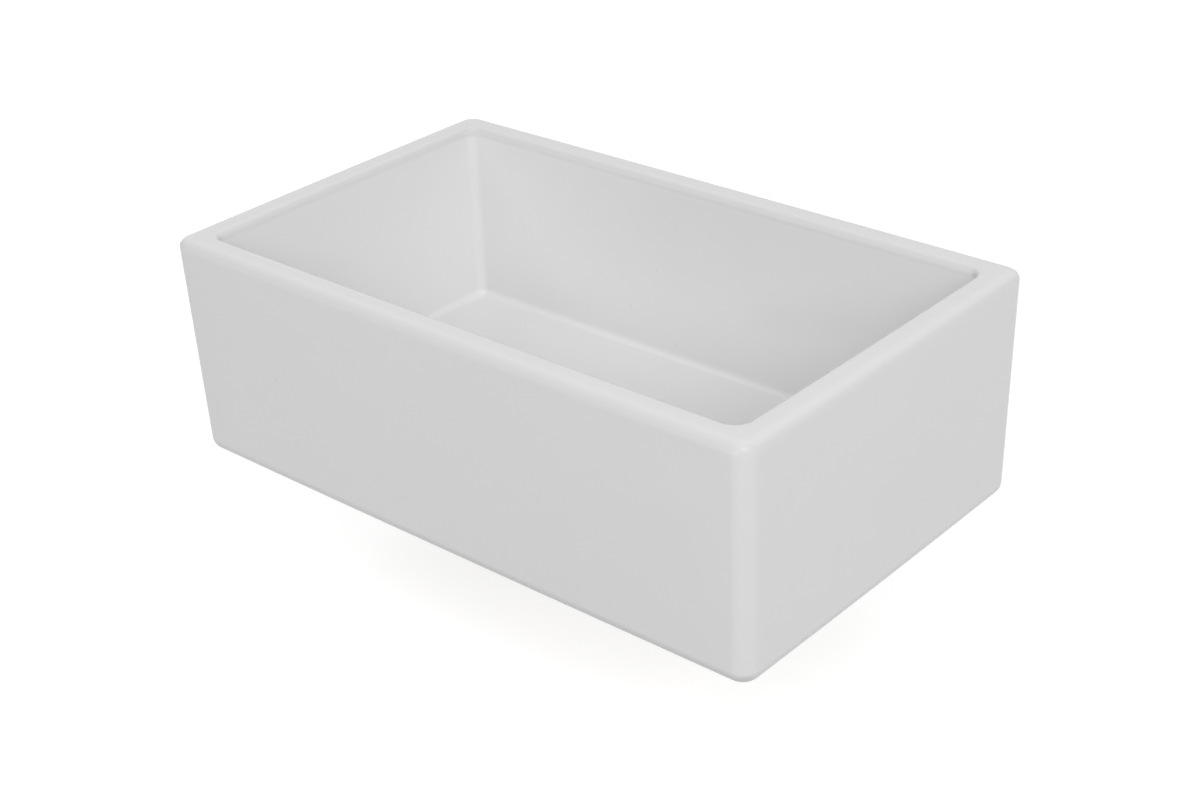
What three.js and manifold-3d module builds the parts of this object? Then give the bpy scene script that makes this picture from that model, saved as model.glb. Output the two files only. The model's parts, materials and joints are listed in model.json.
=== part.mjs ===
// Farmhouse apron front sink in glazed fireclay, with its basket strainer waste.
//
// Millimetres, +Z up. X runs along the sink, the apron faces -Y, and the origin is the middle of the
// ceramic's flat underside, on the axis of the drain hole.

import * as THREE from "three";
import { mergeVertices } from "three/addons/utils/BufferGeometryUtils.js";
import Module from "manifold-3d";

const wasm = await Module();
wasm.setup();

// ---- Driving dimensions: the ceramic -------------------------------------------------------------

const LENGTH = 762;
const DEPTH = 460;
const HEIGHT = 254;
const END_WALL = 34;
const FRONT_WALL = 33;
const BACK_WALL = 35;

const OUTER_DRAFT = THREE.MathUtils.degToRad(1.0);
const INNER_DRAFT = THREE.MathUtils.degToRad(0.4);
const OUTER_CORNER_RADIUS = 26;
const INNER_CORNER_RADIUS = 16;
const TOP_EDGE_RADIUS = 13;
const BASE_EDGE_RADIUS = 15;
const RIM_INNER_RADIUS = 10;
const FLOOR_EDGE_RADIUS = 14;

const FLOOR_AT_WALL = 40;
const FLOOR_AT_DRAIN = 34;
const DISHED_RADIUS = 69;
const RECESS_RADIUS = 61;
const RECESS_DEPTH = 5;
const RECESS_SLOPE = 1;
const RECESS_LIP_RADIUS = 3;
const RECESS_FOOT_RADIUS = 1;
const DRAIN_HOLE_RADIUS = 45;
const DRAIN_EDGE_RADIUS = 1.5;
const SPOT_FACE_RADIUS = 61;
const SPOT_FACE_DEPTH = 1;

// ---- Driving dimensions: the strainer body -------------------------------------------------------

const FIT_GAP = 0.3;
const FLANGE_RADIUS = 57;
const FLANGE_THICKNESS = 1.8;
const FLANGE_EDGE = 0.8;
const FLANGE_FALL = 0.6;
const NECK_RADIUS = 43.4;
const MOUTH_RADIUS = 41;
const MOUTH_ROLL_RADIUS = 4;
const CUP_FLOOR_RADIUS = 37.5;
const CUP_FLOOR_FILLET = 5;
const CUP_DEPTH = 57;
const CUP_WALL = 3;
const SHOULDER_RISE = 5;
const SHOULDER_FILLET = 2;
const SHOULDER_ROUND = 3;
const SEAT_FALL = 2;
const SEAT_EDGE = 1.5;
const OUTLET_THROAT = 3;
const OUTLET_BORE_RADIUS = 19;
const OUTLET_THREAD_RADIUS = 23.3;
const OUTLET_LENGTH = 24;
const OUTLET_EDGE = 1;

const CROSS_BARS = 4;
const CROSS_BAR_WIDTH = 4;
const CROSS_BAR_FILLET = 1;
const CROSS_THICKNESS = 5;
const CROSS_SINK = 4;
const HUB_RADIUS = 7.5;
const HUB_ROUND = 2;
const HUB_BORE_RADIUS = 4.4;

// ---- Driving dimensions: the rings and nuts under the bowl ---------------------------------------

const FLANGE_GASKET_THICKNESS = 2;
const FLANGE_GASKET_EDGE = 0.5;
const UNDERSIDE_GASKET_THICKNESS = 3.5;
const UNDERSIDE_GASKET_EDGE = 0.8;
const FRICTION_WASHER_THICKNESS = 1.2;
const RING_BORE_RADIUS = NECK_RADIUS + 0.6;
const RING_RADIUS = 56;

const LOCK_NUT_HEIGHT = 13;
const LOCK_NUT_RADIUS = 51;
const LOCK_NUT_PLATE = 3;
const LOCK_NUT_EDGE = 1;
const LOCK_NUT_LUGS = 8;
const LUG_ROOT_RADIUS = 49;
const LUG_REACH = 58.5;
const LUG_ROOT_WIDTH = 12;
const LUG_TIP_WIDTH = 10;
const LUG_TIP_ROUND = 1.5;
const LUG_SETBACK = 1;

const TAILPIECE_RADIUS = 19.05;
const TAILPIECE_WALL = 1.2;
const TAILPIECE_LENGTH = 101.6;
const TAILPIECE_FLANGE_RADIUS = 22.6;
const TAILPIECE_FLANGE_THICKNESS = 2;
const TAILPIECE_EDGE = 0.7;
const TAILPIECE_WASHER_THICKNESS = 2.5;

const COUPLING_NUT_SIDES = 8;
const COUPLING_NUT_ACROSS_FLATS = 57;
const COUPLING_NUT_GRIP = 12;
const COUPLING_NUT_LIP = 3;
const COUPLING_NUT_EDGE = 0.6;
const COUPLING_NUT_LOW_CHAMFER = 3;
const COUPLING_NUT_HIGH_CHAMFER = 2;
const COUPLING_LIP_RELIEF = 1.1;

// ---- Driving dimensions: the lift-out basket -----------------------------------------------------

const BASKET_RIM_RADIUS = 38.2;
const BASKET_RIM_EDGE = 0.4;
const BASKET_RIM_ROLL = 0.8;
const BASKET_TOP_RADIUS = 36.2;
const BASKET_FLOOR_RADIUS = 30;
const BASKET_FLOOR_ROUND = 4;
const BASKET_HEIGHT = 40;
const BASKET_WALL = 1;
const BASKET_SLOT_ROWS = 2;
const BASKET_SLOTS_IN_ROW = 16;
const BASKET_SLOT_WIDTH = 3;
const BASKET_SLOT_HEIGHT = 9;
const BASKET_SLOT_PITCH = 13;
const BASKET_SLOT_LEVEL = 13;
const FLOOR_HOLE_RADIUS = 2.2;
const FLOOR_HOLE_SIDES = 6;
const FLOOR_HOLE_RINGS = [
  { radius: 14, count: 8 },
  { radius: 21.5, count: 12 },
];

const SEAL_THICKNESS = 9;
const SEAL_FOOT_RADIUS = 22;
const SEAL_LIP_RADIUS = 27;
const SEAL_LIP_LOW = 1.2;
const SEAL_LIP_HIGH = 3.2;
const SEAL_WAIST_RADIUS = 22;
const SEAL_WAIST_HEIGHT = 4.5;
const SEAL_TOP_RADIUS = 20;
const SEAL_EDGE = 0.8;
const SEAL_ROUND = 1.6;

const SEAL_PLATE_RADIUS = 13;
const SEAL_PLATE_THICKNESS = 1;
const POST_RADIUS = 3;
const POST_TIP_ROUND = 1.5;
const POST_TIP_REACH = 5;
const POST_COLLAR_RADIUS = 6.5;
const POST_COLLAR_HEIGHT = 2.7;
const POST_COLLAR_TAPER = 2;
const POST_COLLAR_EDGE = 0.8;
const POST_NUT_ACROSS_FLATS = 10;
const POST_NUT_HEIGHT = 3;
const POST_NUT_CHAMFER = 0.6;
const POST_RING_SECTION = 1;
const POST_RING_SECTION_SIDES = 6;

const KNOB_RADIUS = 9.5;
const KNOB_STEM_RADIUS = 4.8;
const KNOB_STEM_HEIGHT = 5;
const KNOB_SHOULDER_HEIGHT = 7;
const KNOB_EDGE_HEIGHT = 10.5;
const KNOB_CROWN_RADIUS = 5.5;
const KNOB_HEIGHT = 13;
const KNOB_CAP = 4;
const KNOB_EDGE = 0.5;
const KNOB_ROUND = 1.4;
const KNOB_CLEARANCE = 24;

// ---- Facets --------------------------------------------------------------------------------------

const CORNER_STEPS = 6;
const SIDE_STEPS = 5;
const EDGE_STEPS = 4;
const ARC_FACET = 1.7;
const ROUND_SEGMENTS = 32;
const PIPE_SEGMENTS = 24;
const SMALL_SEGMENTS = 16;
const WELD_DISTANCE = 1e-4;

// ---- Levels that follow from the dimensions ------------------------------------------------------

const RECESS_LEVEL = FLOOR_AT_DRAIN - RECESS_DEPTH;
const FLANGE_GASKET_TOP = RECESS_LEVEL + FIT_GAP + FLANGE_GASKET_THICKNESS;
const FLANGE_UNDERSIDE = FLANGE_GASKET_TOP + FIT_GAP;
const FLANGE_TOP = FLANGE_UNDERSIDE + FLANGE_THICKNESS;
const CUP_FLOOR = FLANGE_TOP - CUP_DEPTH;
const CUP_UNDERSIDE = CUP_FLOOR - CUP_WALL;
const SEAT_LEVEL = CUP_FLOOR - SEAT_FALL;
const OUTLET_END = CUP_UNDERSIDE - OUTLET_LENGTH;
const CROSS_TOP = CUP_UNDERSIDE - CROSS_SINK;
const CROSS_UNDERSIDE = CROSS_TOP - CROSS_THICKNESS;

const UNDERSIDE_GASKET_TOP = SPOT_FACE_DEPTH - FIT_GAP;
const FRICTION_WASHER_TOP = UNDERSIDE_GASKET_TOP - UNDERSIDE_GASKET_THICKNESS - FIT_GAP;
const LOCK_NUT_TOP = FRICTION_WASHER_TOP - FRICTION_WASHER_THICKNESS - FIT_GAP;
const TAILPIECE_WASHER_TOP = OUTLET_END - FIT_GAP;
const TAILPIECE_TOP = TAILPIECE_WASHER_TOP - TAILPIECE_WASHER_THICKNESS - FIT_GAP;
const TAILPIECE_BORE_RADIUS = TAILPIECE_RADIUS - TAILPIECE_WALL;

const SEAL_BOTTOM = SEAT_LEVEL + FIT_GAP;
const SEAL_TOP = SEAL_BOTTOM + SEAL_THICKNESS;
const BASKET_FLOOR = SEAL_TOP + FIT_GAP;
const BASKET_RIM = BASKET_FLOOR + BASKET_HEIGHT;
const SEAL_PLATE_TOP = SEAL_BOTTOM - FIT_GAP;
const POST_NUT_TOP = SEAL_PLATE_TOP - SEAL_PLATE_THICKNESS - FIT_GAP;
const POST_RING_LEVEL = (CROSS_TOP + CROSS_UNDERSIDE) / 2;
const POST_END = CROSS_UNDERSIDE - POST_TIP_REACH;
const POST_BORE_RADIUS = POST_RADIUS + FIT_GAP;
const KNOB_BASE = BASKET_FLOOR + KNOB_CLEARANCE;
const KNOB_TOP = KNOB_BASE + KNOB_HEIGHT;
const POST_TOP = KNOB_TOP - KNOB_CAP;

// ---- Materials -----------------------------------------------------------------------------------

function finish(color, roughness, metalness) {
  return new THREE.MeshStandardMaterial({ color, roughness, metalness });
}

const whiteGlaze = () => finish(0xeaeae9, 0.18, 0);
const stainlessSteel = () => finish(0xb9bab8, 0.32, 1);
const chromedBrass = () => finish(0xc9cbcd, 0.15, 1);
const castBrass = () => finish(0xb08d4f, 0.45, 1);
const blackRubber = () => finish(0x1f2021, 0.8, 0);
const whiteNylon = () => finish(0xdedcd4, 0.5, 0);
const fibreBoard = () => finish(0xa98c63, 0.9, 0);

// ---- Ways of making a solid ----------------------------------------------------------------------

// A corner list [x, y, radius] becomes an outline in which each corner with a radius is an arc.
function roundedOutline(corners) {
  return corners.flatMap(([x, y, radius = 0], index) => {
    const corner = new THREE.Vector2(x, y);
    if (radius === 0) {
      return [corner];
    }
    const before = corners.at(index - 1);
    const after = corners[(index + 1) % corners.length];
    const toBefore = new THREE.Vector2(before[0], before[1]).sub(corner).normalize();
    const toAfter = new THREE.Vector2(after[0], after[1]).sub(corner).normalize();
    const halfAngle = Math.acos(toBefore.dot(toAfter)) / 2;
    const start = corner.clone().addScaledVector(toBefore, radius / Math.tan(halfAngle));
    const inward = toBefore.clone().add(toAfter).normalize();
    const centre = corner.clone().addScaledVector(inward, radius / Math.sin(halfAngle));
    const turn = Math.PI - 2 * halfAngle;
    const steps = Math.ceil((radius * turn) / ARC_FACET);
    const sweep = turn * Math.sign(toAfter.cross(toBefore));
    return Array.from({ length: steps + 1 }, (_, step) =>
      start.clone().rotateAround(centre, (sweep * step) / steps),
    );
  });
}

// A closed section of [radius, height, fillet] corners, counterclockwise, is turned about the Z axis.
function turned(section, segments = ROUND_SEGMENTS) {
  const outline = roundedOutline(section);
  const geometry = new THREE.LatheGeometry([...outline, outline[0]], segments);
  return welded(geometry.rotateX(Math.PI / 2));
}

// A flat outline in X and Y is raised from one level to another.
function raised(outline, low, high, holes = []) {
  const shape = new THREE.Shape(outline);
  shape.holes = holes.map((hole) => new THREE.Path(hole));
  const geometry = new THREE.ExtrudeGeometry(shape, { depth: high - low, bevelEnabled: false });
  return welded(geometry.translate(0, 0, low));
}

function circleOutline(radius, segments = SMALL_SEGMENTS) {
  return new THREE.Path().absarc(0, 0, radius, 0, 2 * Math.PI).getSpacedPoints(segments).slice(0, -1);
}

function acrossCorners(sides, acrossFlats) {
  return acrossFlats / Math.cos(Math.PI / sides);
}

function regularOutline(sides, acrossFlats) {
  return circleOutline(acrossCorners(sides, acrossFlats) / 2, sides);
}

function welded(geometry) {
  geometry.deleteAttribute("normal");
  geometry.deleteAttribute("uv");
  return mergeVertices(geometry, WELD_DISTANCE);
}

function solidOf(geometry) {
  return new wasm.Manifold(
    new wasm.Mesh({
      numProp: 3,
      vertProperties: new Float32Array(geometry.attributes.position.array),
      triVerts: new Uint32Array(geometry.index.array),
    }),
  );
}

function geometryOf(solid) {
  const mesh = solid.getMesh();
  const geometry = new THREE.BufferGeometry();
  geometry.setAttribute("position", new THREE.BufferAttribute(mesh.vertProperties, 3));
  geometry.setIndex(new THREE.BufferAttribute(mesh.triVerts, 1));
  return geometry;
}

// Rings with equal point counts are joined in turn, and the last to the first.
function closedLoft(rings) {
  const count = rings[0].length;
  const index = [];
  for (let ring = 0; ring < rings.length; ring += 1) {
    const next = (ring + 1) % rings.length;
    for (let i = 0; i < count; i += 1) {
      const j = (i + 1) % count;
      const [a, b, c, d] = [ring * count + i, ring * count + j, next * count + j, next * count + i];
      index.push(a, b, c, a, c, d);
    }
  }
  const geometry = new THREE.BufferGeometry().setFromPoints(rings.flat());
  geometry.setIndex(index);
  return geometry;
}

function named(name, geometry, material) {
  const mesh = new THREE.Mesh(geometry, material);
  mesh.name = name;
  return mesh;
}

// ---- The ceramic ---------------------------------------------------------------------------------

// One level ring of the casting: a rectangle with round corners, with the same number of points on
// every ring, so that rings of any size can be joined.
function rectangleRing({ left, right, front, back, radius, level }) {
  const corners = [
    { x: right - radius, y: back - radius, from: 0 },
    { x: left + radius, y: back - radius, from: Math.PI / 2 },
    { x: left + radius, y: front + radius, from: Math.PI },
    { x: right - radius, y: front + radius, from: 1.5 * Math.PI },
  ];
  const arcs = corners.map(({ x, y, from }) =>
    Array.from({ length: CORNER_STEPS + 1 }, (_, step) => {
      const angle = from + (step / CORNER_STEPS) * (Math.PI / 2);
      return new THREE.Vector3(x + radius * Math.cos(angle), y + radius * Math.sin(angle), level);
    }),
  );
  return arcs.flatMap((arc, corner) => {
    const nextArc = arcs[(corner + 1) % arcs.length];
    const side = Array.from({ length: SIDE_STEPS - 1 }, (_, step) =>
      arc.at(-1).clone().lerp(nextArc[0], (step + 1) / SIDE_STEPS),
    );
    return [...arc, ...side];
  });
}

// A round ring whose points match a rectangle ring's one for one.
function circleRing(radius, level) {
  const pointsPerQuarter = CORNER_STEPS + SIDE_STEPS;
  const cornerMiddle = CORNER_STEPS / 2;
  return Array.from({ length: 4 * pointsPerQuarter }, (_, i) => {
    const angle = Math.PI / 4 + ((i - cornerMiddle) / pointsPerQuarter) * (Math.PI / 2);
    return new THREE.Vector3(radius * Math.cos(angle), radius * Math.sin(angle), level);
  });
}

// The outside is upright down to the top edge's round and draws in below it.
function outerRing(inset, level) {
  const drop = Math.max(0, HEIGHT - TOP_EDGE_RADIUS - level);
  const taper = drop * Math.tan(OUTER_DRAFT) + inset;
  return rectangleRing({
    left: -LENGTH / 2 + taper,
    right: LENGTH / 2 - taper,
    front: -DEPTH / 2 + taper,
    back: DEPTH / 2 - taper,
    radius: OUTER_CORNER_RADIUS - inset,
    level,
  });
}

function innerRing(inset, level) {
  const drop = Math.max(0, HEIGHT - RIM_INNER_RADIUS - level);
  const taper = drop * Math.tan(INNER_DRAFT) + inset;
  return rectangleRing({
    left: -LENGTH / 2 + END_WALL + taper,
    right: LENGTH / 2 - END_WALL - taper,
    front: -DEPTH / 2 + FRONT_WALL + taper,
    back: DEPTH / 2 - BACK_WALL - taper,
    radius: INNER_CORNER_RADIUS - inset,
    level,
  });
}

function edgeRings(place) {
  return Array.from({ length: EDGE_STEPS + 1 }, (_, step) => {
    const angle = (step / EDGE_STEPS) * (Math.PI / 2);
    return place(Math.sin(angle), Math.cos(angle));
  });
}

// The casting is one loft that runs up the outside, over the rim, down into the bowl, through the
// drain hole and back along the underside.
function fireclayBody() {
  const baseEdge = edgeRings((sin, cos) =>
    outerRing(BASE_EDGE_RADIUS * (1 - sin), BASE_EDGE_RADIUS * (1 - cos)),
  );
  const topEdge = edgeRings((sin, cos) =>
    outerRing(TOP_EDGE_RADIUS * (1 - cos), HEIGHT - TOP_EDGE_RADIUS * (1 - sin)),
  );
  const rimEdge = edgeRings((sin, cos) =>
    innerRing(-RIM_INNER_RADIUS * (1 - sin), HEIGHT - RIM_INNER_RADIUS * (1 - cos)),
  );
  const floorEdge = edgeRings((sin, cos) =>
    innerRing(FLOOR_EDGE_RADIUS * (1 - cos), FLOOR_AT_WALL + FLOOR_EDGE_RADIUS * (1 - sin)),
  );
  const drainSection = roundedOutline([
    [DISHED_RADIUS, FLOOR_AT_DRAIN],
    [RECESS_RADIUS + RECESS_SLOPE, FLOOR_AT_DRAIN, RECESS_LIP_RADIUS],
    [RECESS_RADIUS, RECESS_LEVEL, RECESS_FOOT_RADIUS],
    [DRAIN_HOLE_RADIUS, RECESS_LEVEL, DRAIN_EDGE_RADIUS],
    [DRAIN_HOLE_RADIUS, SPOT_FACE_DEPTH, DRAIN_EDGE_RADIUS],
    [SPOT_FACE_RADIUS, SPOT_FACE_DEPTH],
    [SPOT_FACE_RADIUS, 0],
  ]);
  const drain = drainSection.map(({ x, y }) => circleRing(x, y));
  return closedLoft([...baseEdge, ...topEdge, ...rimEdge, ...floorEdge, ...drain]);
}

// ---- The strainer body ---------------------------------------------------------------------------

// The cross stands in the outlet, and its hub guides the basket's post.
function crossOutline() {
  const reach = (OUTLET_BORE_RADIUS + OUTLET_THREAD_RADIUS) / 2;
  const half = CROSS_BAR_WIDTH / 2;
  const hubFoot = Math.sqrt(HUB_RADIUS ** 2 - half ** 2);
  const hubSide = HUB_RADIUS / Math.SQRT2;
  const quarter = [
    [reach, -half],
    [reach, half],
    [hubFoot, half, CROSS_BAR_FILLET],
    [hubSide, hubSide, HUB_ROUND],
    [half, hubFoot, CROSS_BAR_FILLET],
  ];
  const axis = new THREE.Vector2();
  const corners = Array.from({ length: CROSS_BARS }, (_, bar) => {
    const angle = (bar / CROSS_BARS) * 2 * Math.PI;
    return quarter.map(([x, y, radius]) => {
      const corner = new THREE.Vector2(x, y).rotateAround(axis, angle);
      return [corner.x, corner.y, radius];
    });
  });
  return roundedOutline(corners.flat());
}

function strainerBody() {
  const shoulderLevel = CUP_UNDERSIDE - SHOULDER_FILLET / 2;
  const cup = turned([
    [OUTLET_THREAD_RADIUS, OUTLET_END, OUTLET_EDGE],
    [OUTLET_THREAD_RADIUS, shoulderLevel, SHOULDER_FILLET],
    [NECK_RADIUS, shoulderLevel + SHOULDER_RISE, SHOULDER_ROUND],
    [NECK_RADIUS, FLANGE_UNDERSIDE],
    [FLANGE_RADIUS, FLANGE_UNDERSIDE, FLANGE_EDGE],
    [FLANGE_RADIUS, FLANGE_TOP, FLANGE_EDGE],
    [MOUTH_RADIUS, FLANGE_TOP - FLANGE_FALL, MOUTH_ROLL_RADIUS],
    [CUP_FLOOR_RADIUS, CUP_FLOOR, CUP_FLOOR_FILLET],
    [OUTLET_BORE_RADIUS + SEAT_FALL, SEAT_LEVEL, SEAT_EDGE],
    [OUTLET_BORE_RADIUS, SEAT_LEVEL - OUTLET_THROAT, SEAT_EDGE],
    [OUTLET_BORE_RADIUS, OUTLET_END, OUTLET_EDGE],
  ]);
  const hubBore = circleOutline(HUB_BORE_RADIUS);
  const cross = raised(crossOutline(), CROSS_UNDERSIDE, CROSS_TOP, [hubBore]);
  return geometryOf(solidOf(cup).add(solidOf(cross)));
}

// ---- Rings and nuts that clamp it to the floor of the bowl ---------------------------------------

function clampRing(top, thickness, edge = 0) {
  return turned([
    [RING_RADIUS, top - thickness, edge],
    [RING_RADIUS, top, edge],
    [RING_BORE_RADIUS, top, edge],
    [RING_BORE_RADIUS, top - thickness, edge],
  ]);
}

function lockNut() {
  const low = LOCK_NUT_TOP - LOCK_NUT_HEIGHT;
  const plateUnderside = LOCK_NUT_TOP - LOCK_NUT_PLATE;
  const boreRadius = NECK_RADIUS + FIT_GAP;
  const ring = turned([
    [LOCK_NUT_RADIUS, low, LOCK_NUT_EDGE],
    [LOCK_NUT_RADIUS, plateUnderside, LOCK_NUT_EDGE],
    [RING_RADIUS, plateUnderside, LOCK_NUT_EDGE],
    [RING_RADIUS, LOCK_NUT_TOP, LOCK_NUT_EDGE],
    [boreRadius, LOCK_NUT_TOP, LOCK_NUT_EDGE],
    [boreRadius, low, LOCK_NUT_EDGE],
  ]);
  const lugOutline = roundedOutline([
    [LUG_ROOT_RADIUS, -LUG_ROOT_WIDTH / 2],
    [LUG_REACH, -LUG_TIP_WIDTH / 2, LUG_TIP_ROUND],
    [LUG_REACH, LUG_TIP_WIDTH / 2, LUG_TIP_ROUND],
    [LUG_ROOT_RADIUS, LUG_ROOT_WIDTH / 2],
  ]);
  const lug = solidOf(raised(lugOutline, low + LUG_SETBACK, LOCK_NUT_TOP - LUG_SETBACK));
  let nut = solidOf(ring);
  for (let i = 0; i < LOCK_NUT_LUGS; i += 1) {
    nut = nut.add(lug.rotate([0, 0, (360 * i) / LOCK_NUT_LUGS]));
  }
  return geometryOf(nut);
}

// ---- The tailpiece and its nut -------------------------------------------------------------------

function tailpieceWasher() {
  const low = TAILPIECE_WASHER_TOP - TAILPIECE_WASHER_THICKNESS;
  return turned([
    [TAILPIECE_FLANGE_RADIUS, low],
    [TAILPIECE_FLANGE_RADIUS, TAILPIECE_WASHER_TOP],
    [TAILPIECE_BORE_RADIUS, TAILPIECE_WASHER_TOP],
    [TAILPIECE_BORE_RADIUS, low],
  ], PIPE_SEGMENTS);
}

// The tube's lower end is cut square, because the trap's slip joint covers it.
function tailpiece() {
  const flangeUnderside = TAILPIECE_TOP - TAILPIECE_FLANGE_THICKNESS;
  const end = TAILPIECE_TOP - TAILPIECE_LENGTH;
  return turned([
    [TAILPIECE_RADIUS, end],
    [TAILPIECE_RADIUS, flangeUnderside, TAILPIECE_EDGE],
    [TAILPIECE_FLANGE_RADIUS, flangeUnderside, TAILPIECE_EDGE],
    [TAILPIECE_FLANGE_RADIUS, TAILPIECE_TOP, TAILPIECE_EDGE],
    [TAILPIECE_BORE_RADIUS, TAILPIECE_TOP, TAILPIECE_EDGE],
    [TAILPIECE_BORE_RADIUS, end],
  ], PIPE_SEGMENTS);
}

// Eight flats, chamfered at both ends by a turned blank. The lip under the tailpiece's flange is
// relieved where the tube's fillet comes down.
function couplingNut() {
  const lipTop = TAILPIECE_TOP - TAILPIECE_FLANGE_THICKNESS - FIT_GAP;
  const low = lipTop - COUPLING_NUT_LIP;
  const high = OUTLET_END + COUPLING_NUT_GRIP;
  const flats = raised(regularOutline(COUPLING_NUT_SIDES, COUPLING_NUT_ACROSS_FLATS), low, high);
  const flatRadius = COUPLING_NUT_ACROSS_FLATS / 2;
  const blankRadius = acrossCorners(COUPLING_NUT_SIDES, COUPLING_NUT_ACROSS_FLATS) / 2 + 1;
  const boreRadius = OUTLET_THREAD_RADIUS + FIT_GAP;
  const lipRadius = TAILPIECE_RADIUS + FIT_GAP;
  const blank = turned([
    [flatRadius - 1, low],
    [blankRadius, low + COUPLING_NUT_LOW_CHAMFER],
    [blankRadius, high - COUPLING_NUT_HIGH_CHAMFER],
    [flatRadius, high],
    [boreRadius, high, COUPLING_NUT_EDGE],
    [boreRadius, lipTop],
    [lipRadius + COUPLING_LIP_RELIEF, lipTop],
    [lipRadius, lipTop - COUPLING_LIP_RELIEF],
    [lipRadius, low, COUPLING_NUT_EDGE],
  ], PIPE_SEGMENTS);
  return geometryOf(solidOf(flats).intersect(solidOf(blank)));
}

// ---- The lift-out basket, resting closed on its seal ---------------------------------------------

function basketShell() {
  const floorTop = BASKET_FLOOR + BASKET_WALL;
  return turned([
    [BASKET_FLOOR_RADIUS, BASKET_FLOOR, BASKET_FLOOR_ROUND],
    [BASKET_TOP_RADIUS, BASKET_RIM - BASKET_WALL],
    [BASKET_RIM_RADIUS, BASKET_RIM - BASKET_WALL, BASKET_RIM_EDGE],
    [BASKET_RIM_RADIUS, BASKET_RIM, BASKET_RIM_EDGE],
    [BASKET_TOP_RADIUS - BASKET_WALL, BASKET_RIM, BASKET_RIM_ROLL],
    [BASKET_FLOOR_RADIUS - BASKET_WALL, floorTop, BASKET_FLOOR_ROUND - BASKET_WALL],
    [POST_BORE_RADIUS, floorTop],
    [POST_BORE_RADIUS, BASKET_FLOOR],
  ]);
}

// A slot's cutter lies along +X and reaches through the basket's wall.
function slotCutter() {
  const endRadius = BASKET_SLOT_WIDTH / 2;
  const halfRun = BASKET_SLOT_HEIGHT / 2 - endRadius;
  const shape = new THREE.Shape();
  shape.absarc(halfRun, 0, endRadius, -Math.PI / 2, Math.PI / 2);
  shape.absarc(-halfRun, 0, endRadius, Math.PI / 2, 1.5 * Math.PI);
  const start = BASKET_FLOOR_RADIUS * 0.7;
  const depth = BASKET_RIM_RADIUS - start + BASKET_WALL;
  const geometry = new THREE.ExtrudeGeometry(shape, { depth, bevelEnabled: false, curveSegments: 2 });
  return solidOf(welded(geometry.rotateY(Math.PI / 2).translate(start, 0, 0)));
}

function basketCup() {
  let cup = solidOf(basketShell());
  const slot = slotCutter();
  for (let row = 0; row < BASKET_SLOT_ROWS; row += 1) {
    const level = BASKET_FLOOR + BASKET_SLOT_LEVEL + row * BASKET_SLOT_PITCH;
    for (let i = 0; i < BASKET_SLOTS_IN_ROW; i += 1) {
      const angle = (360 * (i + row / 2)) / BASKET_SLOTS_IN_ROW;
      cup = cup.subtract(slot.rotate([0, 0, angle]).translate([0, 0, level]));
    }
  }
  const holeOutline = circleOutline(FLOOR_HOLE_RADIUS, FLOOR_HOLE_SIDES);
  const hole = solidOf(raised(holeOutline, BASKET_FLOOR - BASKET_WALL, BASKET_FLOOR + 2 * BASKET_WALL));
  for (const { radius, count } of FLOOR_HOLE_RINGS) {
    for (let i = 0; i < count; i += 1) {
      cup = cup.subtract(hole.translate([radius, 0, 0]).rotate([0, 0, (360 * i) / count]));
    }
  }
  return geometryOf(cup);
}

// The stopper is a thick disc with a soft lip that lies on the conical seat.
function basketSeal() {
  return turned([
    [SEAL_FOOT_RADIUS, SEAL_BOTTOM, SEAL_EDGE],
    [SEAL_LIP_RADIUS, SEAL_BOTTOM + SEAL_LIP_LOW, SEAL_EDGE],
    [SEAL_LIP_RADIUS, SEAL_BOTTOM + SEAL_LIP_HIGH, SEAL_EDGE],
    [SEAL_WAIST_RADIUS, SEAL_BOTTOM + SEAL_WAIST_HEIGHT, SEAL_ROUND],
    [SEAL_TOP_RADIUS, SEAL_TOP, SEAL_ROUND],
    [POST_BORE_RADIUS, SEAL_TOP],
    [POST_BORE_RADIUS, SEAL_BOTTOM],
  ]);
}

function sealPlate() {
  const low = SEAL_PLATE_TOP - SEAL_PLATE_THICKNESS;
  return turned([
    [SEAL_PLATE_RADIUS, low],
    [SEAL_PLATE_RADIUS, SEAL_PLATE_TOP],
    [POST_BORE_RADIUS, SEAL_PLATE_TOP],
    [POST_BORE_RADIUS, low],
  ], PIPE_SEGMENTS);
}

function postNut() {
  const low = POST_NUT_TOP - POST_NUT_HEIGHT;
  const bore = circleOutline(POST_BORE_RADIUS);
  const flats = raised(regularOutline(6, POST_NUT_ACROSS_FLATS), low, POST_NUT_TOP, [bore]);
  const flatRadius = POST_NUT_ACROSS_FLATS / 2;
  const cornerRadius = acrossCorners(6, POST_NUT_ACROSS_FLATS) / 2;
  const blank = turned([
    [0, low],
    [flatRadius, low],
    [cornerRadius, low + POST_NUT_CHAMFER],
    [cornerRadius, POST_NUT_TOP - POST_NUT_CHAMFER],
    [flatRadius, POST_NUT_TOP],
    [0, POST_NUT_TOP],
  ], SMALL_SEGMENTS);
  return geometryOf(solidOf(flats).intersect(solidOf(blank)));
}

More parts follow.
